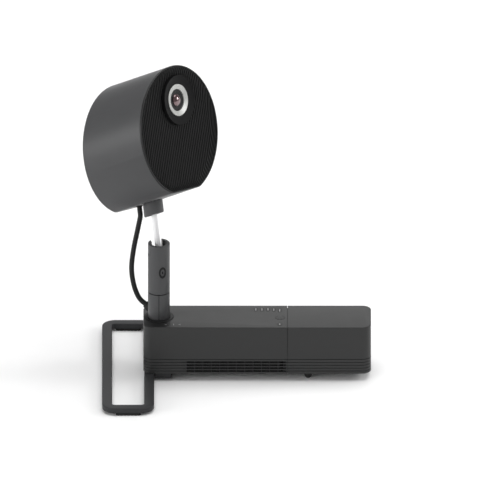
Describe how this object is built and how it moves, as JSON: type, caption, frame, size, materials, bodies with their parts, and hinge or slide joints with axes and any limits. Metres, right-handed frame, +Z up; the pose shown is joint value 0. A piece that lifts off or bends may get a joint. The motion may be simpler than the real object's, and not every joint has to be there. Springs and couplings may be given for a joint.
{
  "type": "stand-mounted spotlight projector",
  "caption": "Round projector head with an offset lens on a tilting arm and turning post, on a long electronics box with a slide-off cable cover and a flat floor frame.",
  "frame": {"origin": "on the floor, under the middle of the whole object in X and Y", "axes": "+Z up; the electronics box runs along X with its cable cover at +X; the floor frame runs along Y; the vents face -Y"},
  "size_m": [0.3956, 0.2929, 0.4367],
  "materials": {
    "shell": "fine satin texture, dark grey",
    "frame_paint": "satin powder coat, dark grey",
    "black_plastic": "moulded black, satin",
    "rubber": "matte",
    "cable_sheath": "smooth matte sheath",
    "steel": "bright zinc plated",
    "arm_finish": "light silver, smooth",
    "lens_trim": "satin light grey",
    "lens_glass": "coated lens, violet sheen",
    "circuit_board": "green solder mask with parts",
    "aluminium": "as cast and milled",
    "key_plastic": "satin with light legend"
  },
  "bodies": {
    "root": {"base_housing": "shell", "left_post_cover": "shell", "right_post_cover": "shell", "floor_frame": "frame_paint", "frame_bracket": "frame_paint", "base_bottom_plate": "frame_paint", "connector_panel": "frame_paint", "post_foot_ring": "black_plastic", "pan_bush": "black_plastic", "base_fan_frame": "black_plastic", "power_inlet": "black_plastic", "front_frame_pad": "rubber", "rear_frame_pad": "rubber", "post_cable_gland": "rubber", "cable_lower": "cable_sheath", "frame_screw_1": "steel", "frame_screw_2": "steel", "frame_screw_3": "steel", "frame_screw_4": "steel", "post_core": "steel", "video_port": "steel", "network_port": "steel", "main_board": "circuit_board", "power_supply": "circuit_board"},
    "cover": {"cable_cover": "shell"},
    "front_foot_body": {"front_foot": "rubber"},
    "rear_foot_body": {"rear_foot": "rubber"},
    "base_fan": {"base_fan_rotor": "black_plastic"},
    "pan": {"pan_tube": "shell", "tilt_pin": "steel", "tilt_screw_plug": "black_plastic", "cable_middle": "cable_sheath"},
    "arm": {"arm_knuckle": "steel", "arm_rod": "arm_finish", "arm_retainer": "steel"},
    "head": {"collar": "shell", "head_shell": "shell", "head_rear_cover": "shell", "front_rim": "black_plastic", "front_grille": "black_plastic", "lens_bezel": "black_plastic", "lens_ring": "lens_trim", "light_engine": "aluminium", "heat_sink": "aluminium", "head_board": "circuit_board", "head_fan_frame": "black_plastic", "head_cable_gland": "rubber", "head_bush": "black_plastic", "cable_upper": "cable_sheath"},
    "head_fan": {"head_fan_rotor": "black_plastic"},
    "focus_group": {"lens_barrel": "black_plastic", "front_lens": "lens_glass", "rear_lens": "lens_glass"},
    "source_key_body": {"source_key": "key_plastic"},
    "shape_key_body": {"shape_key": "key_plastic"},
    "focus_key_body": {"focus_key": "key_plastic"},
    "menu_key_body": {"menu_key": "key_plastic"},
    "back_key_body": {"back_key": "key_plastic"},
    "navigation_key_body": {"navigation_key": "key_plastic"},
    "power_key_body": {"power_key": "key_plastic"}
  },
  "joints": [
    {"name": "pan_turn", "type": "hinge", "parent": "root", "child": "pan", "pos_m": [-0.09206, 0.00155, 0.12], "axis": [0, 0, 1], "range_deg": [-110, 70], "deforming": ["cable_lower", "cable_middle", "cable_upper"]},
    {"name": "arm_tilt", "type": "hinge", "parent": "pan", "child": "arm", "pos_m": [-0.09206, 0.00155, 0.176], "axis": [-0.9385, -0.3453, 0], "range_deg": [-20, 54], "deforming": ["cable_lower", "cable_middle", "cable_upper"]},
    {"name": "head_turn", "type": "hinge", "parent": "arm", "child": "head", "pos_m": [-0.1007, 0.02504, 0.2433], "axis": [-0.1204, 0.3271, 0.9373], "range_deg": [-124, 56], "deforming": ["cable_lower", "cable_middle", "cable_upper"]},
    {"name": "cover_slide", "type": "slide", "parent": "root", "child": "cover", "axis": [1, 0, 0], "range_m": [0, 0.1]},
    {"name": "front_foot_adjust", "type": "slide", "parent": "root", "child": "front_foot_body", "axis": [0, 0, -1], "range_m": [0, 0.004]},
    {"name": "rear_foot_adjust", "type": "slide", "parent": "root", "child": "rear_foot_body", "axis": [0, 0, -1], "range_m": [0, 0.004]},
    {"name": "base_fan_spin", "type": "hinge", "parent": "root", "child": "base_fan", "pos_m": [0.04194, -0.02605, 0.043], "axis": [0, 1, 0], "continuous": true},
    {"name": "head_fan_spin", "type": "hinge", "parent": "head", "child": "head_fan", "pos_m": [-0.13426, 0.06677, 0.30764], "axis": [-0.7952, 0.5334, -0.2883], "continuous": true},
    {"name": "focus_travel", "type": "slide", "parent": "head", "child": "focus_group", "axis": [0.7952, -0.5334, 0.2883], "range_m": [-0.0015, 0.0015]},
    {"name": "source_key_press", "type": "slide", "parent": "root", "child": "source_key_body", "axis": [0, 0, -1], "range_m": [0, 0.0005], "stiffness_N_per_m": 600, "springref_m": -0.0005},
    {"name": "shape_key_press", "type": "slide", "parent": "root", "child": "shape_key_body", "axis": [0, 0, -1], "range_m": [0, 0.0005], "stiffness_N_per_m": 600, "springref_m": -0.0005},
    {"name": "focus_key_press", "type": "slide", "parent": "root", "child": "focus_key_body", "axis": [0, 0, -1], "range_m": [0, 0.0005], "stiffness_N_per_m": 600, "springref_m": -0.0005},
    {"name": "menu_key_press", "type": "slide", "parent": "root", "child": "menu_key_body", "axis": [0, 0, -1], "range_m": [0, 0.0005], "stiffness_N_per_m": 600, "springref_m": -0.0005},
    {"name": "back_key_press", "type": "slide", "parent": "root", "child": "back_key_body", "axis": [0, 0, -1], "range_m": [0, 0.0005], "stiffness_N_per_m": 600, "springref_m": -0.0005},
    {"name": "navigation_key_press", "type": "slide", "parent": "root", "child": "navigation_key_body", "axis": [0, 0, -1], "range_m": [0, 0.0005], "stiffness_N_per_m": 600, "springref_m": -0.0005},
    {"name": "power_key_press", "type": "slide", "parent": "root", "child": "power_key_body", "axis": [0, 0, -1], "range_m": [0, 0.0005], "stiffness_N_per_m": 600, "springref_m": -0.0005}
  ]
}
